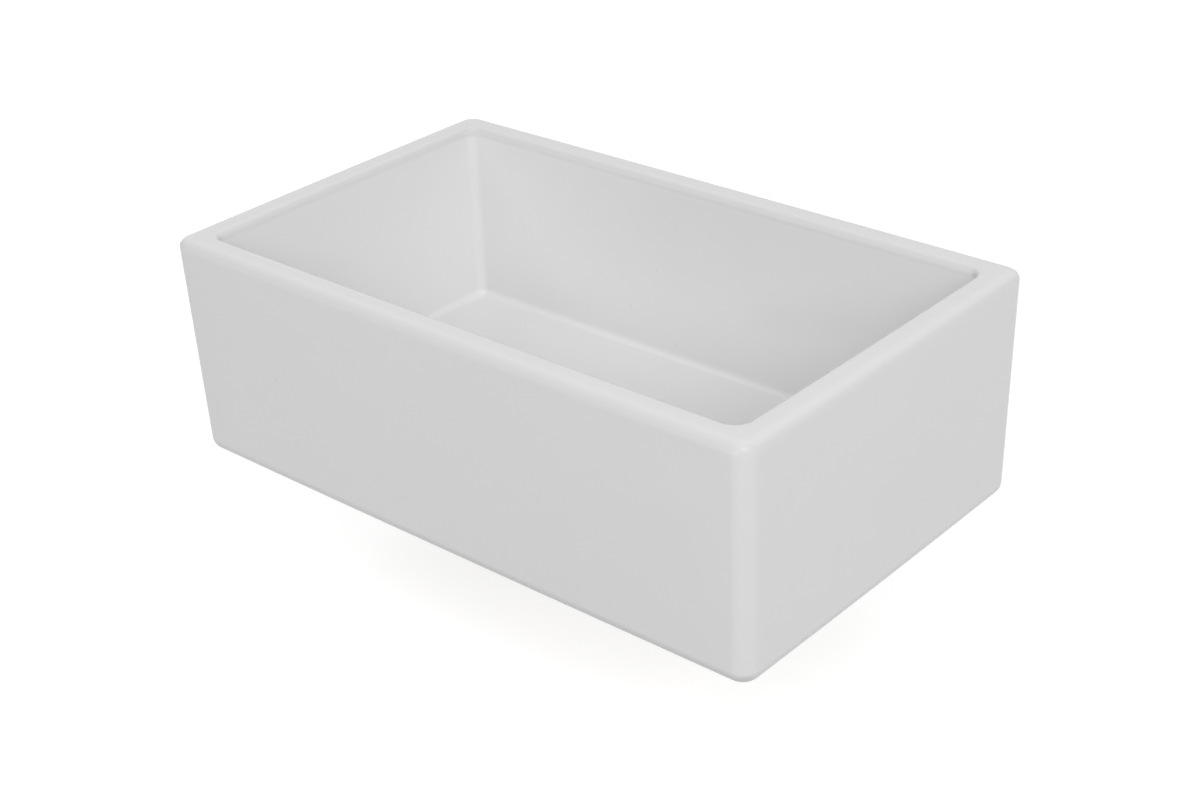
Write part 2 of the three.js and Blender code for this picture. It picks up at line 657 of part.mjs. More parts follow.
// The post has a groove for its ring, a collar that stands on the basket's floor and a plain stem
// that ends inside the knob.
function basketPost() {
  const grooveHalf = POST_RING_SECTION + FIT_GAP;
  const grooveRadius = HUB_BORE_RADIUS - 2 * POST_RING_SECTION - 2 * FIT_GAP;
  const collarLevel = BASKET_FLOOR + BASKET_WALL + FIT_GAP;
  const collarTop = collarLevel + POST_COLLAR_HEIGHT;
  return turned([
    [0, POST_END],
    [POST_RADIUS, POST_END, POST_TIP_ROUND],
    [POST_RADIUS, POST_RING_LEVEL - grooveHalf],
    [grooveRadius, POST_RING_LEVEL - grooveHalf],
    [grooveRadius, POST_RING_LEVEL + grooveHalf],
    [POST_RADIUS, POST_RING_LEVEL + grooveHalf],
    [POST_RADIUS, collarLevel],
    [POST_COLLAR_RADIUS, collarLevel, POST_COLLAR_EDGE],
    [POST_COLLAR_RADIUS, collarTop, POST_COLLAR_EDGE],
    [POST_RADIUS, collarTop + POST_COLLAR_TAPER, POST_COLLAR_EDGE],
    [POST_RADIUS, POST_TOP],
    [0, POST_TOP],
  ], SMALL_SEGMENTS);
}

function postRing() {
  const middle = HUB_BORE_RADIUS - FIT_GAP - POST_RING_SECTION;
  const ring = new THREE.TorusGeometry(middle, POST_RING_SECTION, POST_RING_SECTION_SIDES, SMALL_SEGMENTS);
  return welded(ring.translate(0, 0, POST_RING_LEVEL));
}

function basketKnob() {
  return turned([
    [KNOB_STEM_RADIUS, KNOB_BASE, KNOB_EDGE],
    [KNOB_STEM_RADIUS, KNOB_BASE + KNOB_STEM_HEIGHT, KNOB_ROUND],
    [KNOB_RADIUS, KNOB_BASE + KNOB_SHOULDER_HEIGHT, KNOB_ROUND],
    [KNOB_RADIUS, KNOB_BASE + KNOB_EDGE_HEIGHT, KNOB_ROUND],
    [KNOB_CROWN_RADIUS, KNOB_TOP, KNOB_ROUND],
    [0, KNOB_TOP],
    [0, POST_TOP + FIT_GAP],
    [POST_BORE_RADIUS, POST_TOP + FIT_GAP],
    [POST_BORE_RADIUS, KNOB_BASE],
  ], PIPE_SEGMENTS);
}

// ---- The assembly --------------------------------------------------------------------------------

const flangeGasket = clampRing(FLANGE_GASKET_TOP, FLANGE_GASKET_THICKNESS, FLANGE_GASKET_EDGE);
const undersideGasket = clampRing(UNDERSIDE_GASKET_TOP, UNDERSIDE_GASKET_THICKNESS, UNDERSIDE_GASKET_EDGE);
const frictionWasher = clampRing(FRICTION_WASHER_TOP, FRICTION_WASHER_THICKNESS);

const waste = new THREE.Group();
waste.add(
  named("strainer_body", strainerBody(), stainlessSteel()),
  named("flange_gasket", flangeGasket, blackRubber()),
  named("underside_gasket", undersideGasket, blackRubber()),
  named("friction_washer", frictionWasher, fibreBoard()),
  named("lock_nut", lockNut(), castBrass()),
  named("tailpiece_washer", tailpieceWasher(), whiteNylon()),
  named("tailpiece", tailpiece(), chromedBrass()),
  named("coupling_nut", couplingNut(), chromedBrass()),
);

const basket = new THREE.Group();
basket.add(
  named("basket_cup", basketCup(), stainlessSteel()),
  named("basket_seal", basketSeal(), blackRubber()),
  named("seal_plate", sealPlate(), stainlessSteel()),
  named("basket_post", basketPost(), stainlessSteel()),
  named("post_nut", postNut(), stainlessSteel()),
  named("post_ring", postRing(), blackRubber()),
  named("basket_knob", basketKnob(), chromedBrass()),
);

const sink = new THREE.Group();
sink.add(named("fireclay_body", fireclayBody(), whiteGlaze()), waste, basket);

export default sink;
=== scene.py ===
"""Farmhouse apron front sink in white fireclay with its basket strainer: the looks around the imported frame.

Metres, +Z up. X runs along the sink and the apron faces -Y. The origin is the middle of the flat underside.
"""

import json
import math

import bmesh
import bpy
from mathutils import Matrix, Vector

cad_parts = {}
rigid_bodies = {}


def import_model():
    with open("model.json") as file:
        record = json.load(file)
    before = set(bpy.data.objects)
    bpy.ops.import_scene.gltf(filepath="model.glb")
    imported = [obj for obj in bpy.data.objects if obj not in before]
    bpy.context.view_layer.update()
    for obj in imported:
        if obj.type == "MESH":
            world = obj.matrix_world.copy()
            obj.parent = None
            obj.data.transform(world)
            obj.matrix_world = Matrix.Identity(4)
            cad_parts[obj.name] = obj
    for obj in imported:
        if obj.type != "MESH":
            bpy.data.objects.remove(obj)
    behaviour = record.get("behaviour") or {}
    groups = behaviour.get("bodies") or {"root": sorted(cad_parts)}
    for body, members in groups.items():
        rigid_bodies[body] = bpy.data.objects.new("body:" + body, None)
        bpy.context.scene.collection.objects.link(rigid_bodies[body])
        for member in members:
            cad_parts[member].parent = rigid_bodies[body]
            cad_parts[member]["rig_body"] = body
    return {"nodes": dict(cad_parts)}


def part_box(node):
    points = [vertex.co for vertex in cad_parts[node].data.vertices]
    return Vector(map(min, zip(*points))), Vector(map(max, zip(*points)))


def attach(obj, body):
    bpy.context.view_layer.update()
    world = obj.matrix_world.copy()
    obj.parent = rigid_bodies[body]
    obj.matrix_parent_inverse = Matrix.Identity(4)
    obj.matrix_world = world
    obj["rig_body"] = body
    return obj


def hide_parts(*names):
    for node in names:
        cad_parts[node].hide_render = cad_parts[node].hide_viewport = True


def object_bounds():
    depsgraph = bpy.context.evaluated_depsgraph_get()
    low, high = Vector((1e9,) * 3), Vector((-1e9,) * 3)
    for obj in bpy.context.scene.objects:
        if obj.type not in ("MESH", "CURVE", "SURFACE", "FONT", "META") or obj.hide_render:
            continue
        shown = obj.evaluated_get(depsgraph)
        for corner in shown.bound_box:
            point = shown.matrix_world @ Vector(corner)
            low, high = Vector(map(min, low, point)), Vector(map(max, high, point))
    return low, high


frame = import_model()
cad_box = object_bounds()

MM = 0.001

# ---- Camera, as fitted to the outline of the sink in the photograph ----

CAMERA_PLACE = Vector((1.2890, -1.4251, 1.1083))
CAMERA_AZIMUTH = math.radians(41.85)
CAMERA_ELEVATION = math.radians(28.089)
CAMERA_ROLL = math.radians(-2.476)
CAMERA_LENS_MM = 61.71
SENSOR_MM = 36.0


def add_camera():
    azimuth, elevation = CAMERA_AZIMUTH, CAMERA_ELEVATION
    back = Vector((
        math.sin(azimuth) * math.cos(elevation),
        -math.cos(azimuth) * math.cos(elevation),
        math.sin(elevation),
    ))
    level_right = Vector((math.cos(azimuth), math.sin(azimuth), 0.0))
    level_up = back.cross(level_right)
    right = level_right * math.cos(CAMERA_ROLL) + level_up * math.sin(CAMERA_ROLL)
    up = level_up * math.cos(CAMERA_ROLL) - level_right * math.sin(CAMERA_ROLL)
    turn = Matrix((right, up, back)).transposed().to_4x4()
    data = bpy.data.cameras.new("camera")
    data.lens = CAMERA_LENS_MM
    data.sensor_fit = "HORIZONTAL"
    data.sensor_width = SENSOR_MM
    camera = bpy.data.objects.new("camera", data)
    camera.matrix_world = Matrix.Translation(CAMERA_PLACE) @ turn
    bpy.context.scene.collection.objects.link(camera)
    bpy.context.scene.camera = camera


add_camera()

# ---- Nodes of a material, in short ----


class Shader:
    """A Principled material whose sockets are set to constants or fed by procedural nodes."""

    def __init__(self, name, **constants):
        self.material = bpy.data.materials.new(name)
        self.material.use_nodes = True
        self.tree = self.material.node_tree
        self.principled = self.tree.nodes["Principled BSDF"]
        for socket, value in constants.items():
            self.principled.inputs[socket.replace("_", " ")].default_value = value

    def node(self, kind, inputs=None, **settings):
        made = self.tree.nodes.new("ShaderNode" + kind)
        for key, value in settings.items():
            setattr(made, key, value)
        for socket, value in (inputs or {}).items():
            if isinstance(value, bpy.types.NodeSocket):
                self.tree.links.new(value, made.inputs[socket])
            else:
                made.inputs[socket].default_value = value
        return made

    def feed(self, socket, output):
        self.tree.links.new(output, self.principled.inputs[socket])

    def place(self):
        return self.node("TexCoord").outputs["Object"]

    def math(self, operation, first, second=0.5, clamp=False):
        made = self.node("Math", {0: first, 1: second}, operation=operation, use_clamp=clamp)
        return made.outputs[0]

    def noise(self, scale, detail=2.0, roughness=0.5, vector=None, distortion=0.0):
        inputs = {
            "Vector": vector or self.place(),
            "Scale": scale,
            "Detail": detail,
            "Roughness": roughness,
            "Distortion": distortion,
        }
        return self.node("TexNoise", inputs).outputs["Fac"]

    def remap(self, value, low, high, to_low, to_high, smooth=True):
        inputs = {"Value": value, "From Min": low, "From Max": high, "To Min": to_low, "To Max": to_high}
        kind = "SMOOTHSTEP" if smooth else "LINEAR"
        return self.node("MapRange", inputs, interpolation_type=kind).outputs["Result"]

    def mix_colour(self, factor, first, second):
        made = self.node("Mix", {"Factor": factor}, data_type="RGBA")
        for socket, value in ((6, first), (7, second)):
            if isinstance(value, bpy.types.NodeSocket):
                self.tree.links.new(value, made.inputs[socket])
            else:
                made.inputs[socket].default_value = value
        return made.outputs[2]

    def bump(self, height, distance, strength=1.0, normal=None):
        inputs = {"Height": height, "Distance": distance, "Strength": strength}
        if normal is not None:
            inputs["Normal"] = normal
        return self.node("Bump", inputs).outputs["Normal"]


def grey(value):
    return (value, value, value, 1.0)


# ---- Materials ----

GLAZE_WHITE = (0.70, 0.70, 0.70, 1.0)
GLAZE_SHADE = (0.685, 0.685, 0.685, 1.0)
# Painted light: a brighter white inside the bowl, in place of light the lamps do not bring into it.
GLAZE_PAINTED_BOWL_LIGHT = (0.74, 0.74, 0.74, 1.0)
# Painted shade: a darker white on the round edges that face the lamps.
GLAZE_PAINTED_EDGE_SHADE = (0.59, 0.59, 0.59, 1.0)
GLAZE_SPECK = (0.34, 0.34, 0.34, 1.0)
BISQUE = (0.50, 0.45, 0.385, 1.0)
BISQUE_DARK = (0.42, 0.37, 0.31, 1.0)
STEEL = (0.62, 0.62, 0.61, 1.0)
STEEL_STAINED = (0.54, 0.54, 0.53, 1.0)
CHROME = (0.80, 0.81, 0.83, 1.0)
CHROME_SMEARED = (0.72, 0.73, 0.75, 1.0)
BRASS = (0.62, 0.44, 0.19, 1.0)
BRASS_TARNISHED = (0.36, 0.24, 0.11, 1.0)
RUBBER_GREY = 0.022
RUBBER_BLOOM_GREY = 0.045
FIBRE = (0.50, 0.36, 0.21, 1.0)
FIBRE_DARK = (0.30, 0.20, 0.11, 1.0)
NYLON = (0.78, 0.77, 0.72, 1.0)
NYLON_DULL = (0.70, 0.69, 0.64, 1.0)

# The inside of the bowl, where the glaze is painted brighter as painted light: where its middle lies, and
# from where to where it fades out on each axis.
BOWL_MIDDLE_Y = -0.001
BOWL_FADE_X = (0.3575, 0.3605)
BOWL_FADE_Y = (0.2065, 0.2095)
BOWL_FADE_Z = (0.243, 0.2475)

# Painted shade on round edges that face the front and the lamps, which the lamps light brighter than the
# flats.
LAMP_SIDE_DIRECTION = (0.35, -0.94, 0.0)
LAMP_SIDE_FADE = (-0.05, 0.45)
EDGE_SPREAD = 0.35
EDGE_GAIN = 1.27
UPRIGHT_EDGE_SHARE = 0.45

SPECK_CELLS = 30.0
SPECK_FADE = (0.02, 0.09)
SPECK_CHOICE = (0.68, 0.72)
SPECK_STRENGTH = 0.14


def painted_bowl_light_mask(glaze, x, y, z):
    """One on the glaze inside the bowl, below the rim's flat, where painted light brightens the glaze."""
    from_middle_y = glaze.math("ABSOLUTE", glaze.math("SUBTRACT", y, BOWL_MIDDLE_Y))
    over_bowl = glaze.math(
        "MULTIPLY",
        glaze.remap(glaze.math("ABSOLUTE", x), *BOWL_FADE_X, 1.0, 0.0),
        glaze.remap(from_middle_y, *BOWL_FADE_Y, 1.0, 0.0),
    )
    return glaze.math("MULTIPLY", over_bowl, glaze.remap(z, *BOWL_FADE_Z, 1.0, 0.0))


def painted_edge_shade_mask(glaze):
    """Towards one on round edges that face the front, and on upright edges less so: where shade is painted on
    the edges the lamps light.
    """
    facing = glaze.node("NewGeometry").outputs["Normal"]
    absolute = glaze.node("VectorMath", {0: facing}, operation="ABSOLUTE").outputs[0]
    parts = glaze.node("SeparateXYZ", {0: absolute}).outputs
    squareness = glaze.math("MAXIMUM", parts[0], glaze.math("MAXIMUM", parts[1], parts[2]))
    leaning = glaze.math("SUBTRACT", 1.0, glaze.math("MULTIPLY", squareness, squareness))
    on_edge = glaze.math("MULTIPLY", glaze.math("POWER", leaning, EDGE_SPREAD), EDGE_GAIN, clamp=True)
    edge_shade = glaze.math("MULTIPLY", on_edge, glaze.remap(parts[2], 0.0, 0.25, UPRIGHT_EDGE_SHARE, 1.0))
    to_front = glaze.node("VectorMath", {0: facing, 1: LAMP_SIDE_DIRECTION}, operation="DOT_PRODUCT")
    lamp_side = glaze.remap(to_front.outputs["Value"], *LAMP_SIDE_FADE, 0.0, 1.0)
    return glaze.math("MULTIPLY", edge_shade, lamp_side)


def specks(glaze, place):
    """Small soft spots in some of the cells that fill space."""
    cells = glaze.node("TexVoronoi", {"Vector": place, "Scale": SPECK_CELLS}, feature="F1")
    chosen = glaze.node("SeparateColor", {"Color": cells.outputs["Color"]}).outputs[0]
    spot = glaze.remap(cells.outputs["Distance"], *SPECK_FADE, 1.0, 0.0)
    return glaze.math("MULTIPLY", spot, glaze.remap(chosen, *SPECK_CHOICE, 0.0, 1.0))


def bare_mask(glaze, z):
    """One on faces of the flat underside, which stand in the kiln and carry no glaze."""
    normal = glaze.node("NewGeometry").outputs["True Normal"]
    down = glaze.remap(glaze.node("SeparateXYZ", {0: normal}).outputs[2], -0.97, -0.99, 0.0, 1.0)
    return glaze.math("MULTIPLY", down, glaze.remap(z, 0.0016, 0.0012, 0.0, 1.0))


def glazed_fireclay():
    """White glaze with painted light that brightens the inside of the bowl, painted shade on the round edges
    that face the lamps, and a bare biscuit underside.
    """
    glaze = Shader("glaze", IOR=1.5)
    place = glaze.place()
    x, y, z = (glaze.node("SeparateXYZ", {0: place}).outputs[i] for i in range(3))
    painted_bowl_light = painted_bowl_light_mask(glaze, x, y, z)
    painted_edge_shade = glaze.math("MULTIPLY", painted_edge_shade_mask(glaze), glaze.math("SUBTRACT", 1.0, painted_bowl_light))
    cloud = glaze.remap(glaze.noise(5.0, 4.0, 0.6), 0.3, 0.7, 0.0, 0.5)
    smudge = glaze.remap(glaze.noise(38.0, 5.0, 0.65, distortion=1.2), 0.55, 0.75, 0.0, 0.5)
    even = glaze.mix_colour(glaze.math("ADD", cloud, smudge), GLAZE_WHITE, GLAZE_SHADE)
    # Painted light brightens the bowl's inside, and painted shade darkens the round edges that face the
    # lamps.
    white = glaze.mix_colour(painted_edge_shade, glaze.mix_colour(painted_bowl_light, even, GLAZE_PAINTED_BOWL_LIGHT), GLAZE_PAINTED_EDGE_SHADE)
    speck = glaze.math("MULTIPLY", specks(glaze, place), SPECK_STRENGTH)
    speckled = glaze.mix_colour(speck, white, GLAZE_SPECK)
    bare = bare_mask(glaze, z)
    clay = glaze.mix_colour(glaze.noise(160.0, 6.0, 0.7), BISQUE, BISQUE_DARK)
    glaze.feed("Base Color", glaze.mix_colour(bare, speckled, clay))
    gloss = glaze.remap(glaze.noise(24.0, 4.0, 0.6), 0.35, 0.7, 0.045, 0.075)
    glaze.feed("Roughness", glaze.math("ADD", gloss, glaze.math("MULTIPLY", bare, 0.7)))
    swell = glaze.bump(glaze.noise(14.0, 1.0, 0.4), 0.0006)
    peel = glaze.bump(glaze.noise(120.0, 2.0, 0.5), 0.00004, normal=swell)
    grain = glaze.math("MULTIPLY", bare, glaze.noise(900.0, 4.0, 0.7))
    glaze.feed("Normal", glaze.bump(grain, 0.0004, normal=peel))
    return glaze.material


def radial_vector(shader, stretch):
    """Distance from the Z axis and height, so that noise on it makes rings round the axis."""
    axes = shader.node("SeparateXYZ", {0: shader.place()})
    x, y, z = axes.outputs[0], axes.outputs[1], axes.outputs[2]
    square = shader.math("ADD", shader.math("MULTIPLY", x, x), shader.math("MULTIPLY", y, y))
    radius = shader.math("POWER", square, 0.5)
    around = shader.math("MULTIPLY", shader.math("ARCTAN2", y, x), stretch)
    return shader.node("CombineXYZ", {0: radius, 1: z, 2: around}).outputs[0]


def turned_metal(name, colour, darker, rough, line_depth):
    """Metal finished on a lathe: fine rings round the axis and soft stains."""
    metal = Shader(name, Metallic=1.0)
    rings = metal.noise(2600.0, 3.0, 0.6, vector=radial_vector(metal, 0.0004))
    stain = metal.noise(70.0, 4.0, 0.6)
    metal.feed("Base Color", metal.mix_colour(metal.remap(stain, 0.4, 0.75, 0.0, 1.0), colour, darker))
    spread = metal.math("MULTIPLY", rings, 0.5 * rough)
    stained = metal.math("MULTIPLY", stain, 0.5 * rough)
    metal.feed("Roughness", metal.math("ADD", metal.math("ADD", spread, stained), 0.5 * rough))
    metal.feed("Normal", metal.bump(rings, line_depth))
    return metal.material


def bright_chrome():
    chrome = Shader("chrome", Metallic=1.0)
    smear = chrome.noise(60.0, 5.0, 0.65, distortion=0.8)
    chrome.feed("Base Color", chrome.mix_colour(smear, CHROME, CHROME_SMEARED))
    chrome.feed("Roughness", chrome.remap(smear, 0.4, 0.8, 0.05, 0.16))
    chrome.feed("Normal", chrome.bump(chrome.noise(220.0, 2.0), 0.00002))
    return chrome.material


def cast_brass():
    brass = Shader("brass", Metallic=1.0)
    skin = brass.noise(900.0, 5.0, 0.65)
    tarnish = brass.noise(55.0, 5.0, 0.65, distortion=0.6)
    dull = brass.remap(tarnish, 0.42, 0.68, 0.0, 1.0)
    brass.feed("Base Color", brass.mix_colour(dull, BRASS, BRASS_TARNISHED))
    brass.feed("Roughness", brass.remap(dull, 0.0, 1.0, 0.34, 0.55))
    brass.feed("Normal", brass.bump(skin, 0.00012))
    return brass.material


def black_rubber():
    rubber = Shader("rubber", IOR=1.45)
    bloom = rubber.noise(90.0, 4.0, 0.6)
    rubber.feed("Base Color", rubber.mix_colour(bloom, grey(RUBBER_GREY), grey(RUBBER_BLOOM_GREY)))
    rubber.feed("Roughness", rubber.remap(bloom, 0.3, 0.7, 0.55, 0.75))
    rubber.feed("Normal", rubber.bump(rubber.noise(1500.0, 3.0), 0.00005))
    return rubber.material


def pressed_fibre():
    fibre = Shader("fibre")
    strands = fibre.noise(700.0, 6.0, 0.75, distortion=2.0)
    fibre.feed("Base Color", fibre.mix_colour(strands, FIBRE, FIBRE_DARK))
    fibre.feed("Roughness", fibre.remap(strands, 0.2, 0.8, 0.75, 0.95))
    fibre.feed("Normal", fibre.bump(strands, 0.0001))
    return fibre.material


def milky_nylon():
    nylon = Shader("nylon", IOR=1.5)
    cloud = nylon.noise(120.0, 3.0)
    nylon.feed("Base Color", nylon.mix_colour(cloud, NYLON, NYLON_DULL))
    nylon.feed("Roughness", nylon.remap(cloud, 0.3, 0.7, 0.4, 0.55))
    nylon.feed("Normal", nylon.bump(nylon.noise(800.0, 2.0), 0.00003))
    return nylon.material


MATERIALS = {
    "glaze": glazed_fireclay(),
    "stainless": turned_metal("stainless", STEEL, STEEL_STAINED, 0.26, 0.00002),
    "chrome": bright_chrome(),
    "brass": cast_brass(),
    "rubber": black_rubber(),
    "fibre": pressed_fibre(),
    "nylon": milky_nylon(),
}

# ---- Making meshes ----

WELD = 1e-6
FINE_FACET = 0.35 * MM


def in_metres(*corners):
    """Corners in millimetres, (x, y) or (x, y, radius), as (x, y, radius) in metres."""
    return [tuple(value * MM for value in (*corner, 0.0)[:3]) for corner in corners]


def rounded_section(corners, facet=FINE_FACET):
    """A corner list (x, y, radius) becomes an outline in which each corner with a radius is an arc."""
    outline = []
    for i, (x, y, radius) in enumerate(corners):
        corner = Vector((x, y))
        before = Vector(corners[i - 1][:2]) - corner
        after = Vector(corners[(i + 1) % len(corners)][:2]) - corner
        if radius == 0:
            outline.append(corner)
            continue
        before.normalize()
        after.normalize()
        half_angle = before.angle(after) / 2
        start = corner + before * (radius / math.tan(half_angle))
        centre = corner + (before + after).normalized() * (radius / math.sin(half_angle))
        turn = math.pi - 2 * half_angle
        steps = max(2, math.ceil(radius * turn / facet))
        sense = 1 if after.x * before.y - after.y * before.x > 0 else -1
        for step in range(steps + 1):
            arm = start - centre
            arm.rotate(Matrix.Rotation(sense * turn * step / steps, 2))
            outline.append(centre + arm)
    return outline


def divided(outline, low, high, inner_radius, longest):
    """Steps outside a radius and between two levels are cut to a greatest length."""
    result = []
    for point, after in zip(outline, outline[1:] + outline[:1]):
        result.append(point)
        outside = min(point.x, after.x) >= inner_radius
        if outside and max(point.y, after.y) > low and min(point.y, after.y) < high:
            pieces = math.ceil((after - point).length / longest)
            result += [point.lerp(after, step / pieces) for step in range(1, pieces)]
    return result


def add_mesh(name, points, faces):
    """A mesh object with doubled points merged and all faces turned outwards."""
    mesh = bpy.data.meshes.new(name)
    mesh.from_pydata([tuple(point) for point in points], [], faces)
    work = bmesh.new()
    work.from_mesh(mesh)
    bmesh.ops.remove_doubles(work, verts=work.verts, dist=WELD)
    bare_edges = [edge for edge in work.edges if not edge.link_faces]
    bmesh.ops.delete(work, geom=bare_edges, context="EDGES")
    bmesh.ops.recalc_face_normals(work, faces=work.faces)
    work.to_mesh(mesh)
    work.free()
    made = bpy.data.objects.new(name, mesh)
    bpy.context.scene.collection.objects.link(made)
    return made


def finish_piece(piece, node, slot, sharp_degrees=40):
    """The piece stands for a CAD node: it rides on the node's body and takes its material slot."""
    mesh = piece.data
    mesh.polygons.foreach_set("use_smooth", [True] * len(mesh.polygons))
    mesh.set_sharp_from_angle(angle=math.radians(sharp_degrees))
    mesh.materials.clear()
    mesh.materials.append(MATERIALS[slot])
    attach(piece, frame["nodes"][node]["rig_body"])
    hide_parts(node)


def skin_rings(rings):
    """Quads between rings of equal length, and from the last ring back to the first."""
    count = len(rings[0])
    faces = []
    for ring in range(len(rings)):
        after = (ring + 1) % len(rings)
        for i in range(count):
            j = (i + 1) % count
            faces.append((ring * count + i, ring * count + j, after * count + j, after * count + i))
    return [point for ring in rings for point in ring], faces


def revolved(section, segments, shape=None):
    """A closed section of (radius, level) points turned about the Z axis.

    The shape, where there is one, gives a point's radius from its angle, plain radius and level.
    """
    rings = []
    for step in range(segments):
        angle = 2 * math.pi * step / segments
        ring = []
        for radius, level in section:
            reach = shape(angle, radius, level) if shape else radius
            ring.append(Vector((reach * math.cos(angle), reach * math.sin(angle), level)))
        rings.append(ring)
    return skin_rings(rings)


def add_turning(name, node, slot, corners, segments=96, shape=None, division=None, sharp_degrees=40):
    section = rounded_section(in_metres(*corners))
    if division:
        section = divided(section, *(value * MM for value in division))
    piece = add_mesh(name, *revolved(section, segments, shape))
    finish_piece(piece, node, slot, sharp_degrees)
    return piece


def smooth_step(value):
    value = min(1.0, max(0.0, value))
    return value * value * (3 - 2 * value)


def soft_least(first, second, blend):
    """The lesser of two lengths, with the edge between them rounded off."""
    share = min(1.0, max(0.0, 0.5 + 0.5 * (second - first) / blend))
    return second + (first - second) * share - blend * share * (1 - share)


# ---- The ceramic, with the flat faces and the box of its solid but tighter round edges, in many steps ----

END_WALL = 34 * MM
FRONT_WALL = 33 * MM
BACK_WALL = 35 * MM
OUTER_DRAFT = math.radians(1.0)
INNER_DRAFT = math.radians(0.4)
OUTER_CORNER_RADIUS = 20 * MM
INNER_CORNER_RADIUS = 10.5 * MM
INNER_CORNER_FLARE = 1.8
TOP_EDGE_WIDTH = 14 * MM
TOP_EDGE_HEIGHT = 9 * MM
BASE_EDGE_RADIUS = 15 * MM
RIM_INNER_RADIUS = 8 * MM
FLOOR_EDGE_RADIUS = 8 * MM
FLOOR_AT_WALL = 40 * MM
FLOOR_AT_DRAIN = 34 * MM
RECESS_RADIUS = 61 * MM
RECESS_DEPTH = 5 * MM
RECESS_SLOPE = 1 * MM
RECESS_LIP_RADIUS = 3 * MM
RECESS_FOOT_RADIUS = 1 * MM
FLOOR_STOP = 8 * MM
DRAIN_HOLE_RADIUS = 45 * MM
DRAIN_EDGE_RADIUS = 1.5 * MM
SPOT_FACE_RADIUS = 61 * MM
SPOT_FACE_DEPTH = 1 * MM
KILN_BOW = 1.0 * MM

CORNER_STEPS = 12
SIDE_STEPS = 20
EDGE_STEPS = 9
WALL_STEPS = 12
FLOOR_STEPS = 14
LOOP_GAP = 2 * MM
RIM_FRACTIONS = (0.15, 0.5, 0.85)
FLOOR_MARGIN = 0.02
UNDERSIDE_FRACTIONS = (0.03, 0.3, 0.65, 0.97)

HALF_LENGTH, HALF_DEPTH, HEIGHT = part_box("fireclay_body")[1]


def rectangle_ring(left, right, front, back, radius, level):
    """A level rectangle with round corners, counterclockwise from the right end of its back right arc."""
    corners = (
        (right - radius, back - radius, 0.0),
        (left + radius, back - radius, 0.5 * math.pi),
        (left + radius, front + radius, math.pi),
        (right - radius, front + radius, 1.5 * math.pi),
    )
    arcs = []
    for x, y, start in corners:
        arc = []
        for step in range(CORNER_STEPS + 1):
            angle = start + 0.5 * math.pi * step / CORNER_STEPS
            arc.append(Vector((x + radius * math.cos(angle), y + radius * math.sin(angle), level)))
        arcs.append(arc)
    ring = []
    for arc, following in zip(arcs, arcs[1:] + arcs[:1]):
        ring += arc
        ring += [arc[-1].lerp(following[0], step / SIDE_STEPS) for step in range(1, SIDE_STEPS)]
    return ring


def circle_ring(radius, level):
    """A round ring whose points match a rectangle ring's one for one."""
    quarter = CORNER_STEPS + SIDE_STEPS
    ring = []
    for i in range(4 * quarter):
        angle = 0.25 * math.pi + 0.5 * math.pi * (i - CORNER_STEPS / 2) / quarter
        ring.append(Vector((radius * math.cos(angle), radius * math.sin(angle), level)))
    return ring


def outer_ring(inset, level):
    taper = inset + max(0.0, HEIGHT - TOP_EDGE_HEIGHT - level) * math.tan(OUTER_DRAFT)
    return rectangle_ring(
        taper - HALF_LENGTH,
        HALF_LENGTH - taper,
        taper - HALF_DEPTH,
        HALF_DEPTH - taper,
        OUTER_CORNER_RADIUS - inset,
        level,
    )


def inner_ring(inset, level):
    taper = inset + max(0.0, HEIGHT - RIM_INNER_RADIUS - level) * math.tan(INNER_DRAFT)
    flare = INNER_CORNER_FLARE if inset < 0 else 1.0
    return rectangle_ring(
        END_WALL + taper - HALF_LENGTH,
        HALF_LENGTH - END_WALL - taper,
        FRONT_WALL + taper - HALF_DEPTH,
        HALF_DEPTH - BACK_WALL - taper,
        INNER_CORNER_RADIUS - inset * flare,
        level,
    )


def quarter_turn(place, steps=EDGE_STEPS):
    angles = [0.5 * math.pi * step / steps for step in range(steps + 1)]
    return [place(math.sin(angle), math.cos(angle)) for angle in angles]


def levels_between(low, high):
    """Levels of a wall, with a close one at each end to hold the shading of the edge beside it."""
    inner = [low + (high - low) * step / WALL_STEPS for step in range(1, WALL_STEPS)]
    return [low + LOOP_GAP, *inner, high - LOOP_GAP]


def blend_rings(first, second, fractions):
    return [[a.lerp(b, fraction) for a, b in zip(first, second)] for fraction in fractions]


def kiln_bowed(point):
    """Fired walls stand a little proud at the middle of their length."""
    along = 1 - KILN_BOW / HALF_DEPTH * (point.x / HALF_LENGTH) ** 2
    across = 1 - KILN_BOW / HALF_LENGTH * (point.y / HALF_DEPTH) ** 2
    return Vector((point.x * across, point.y * along, point.z))


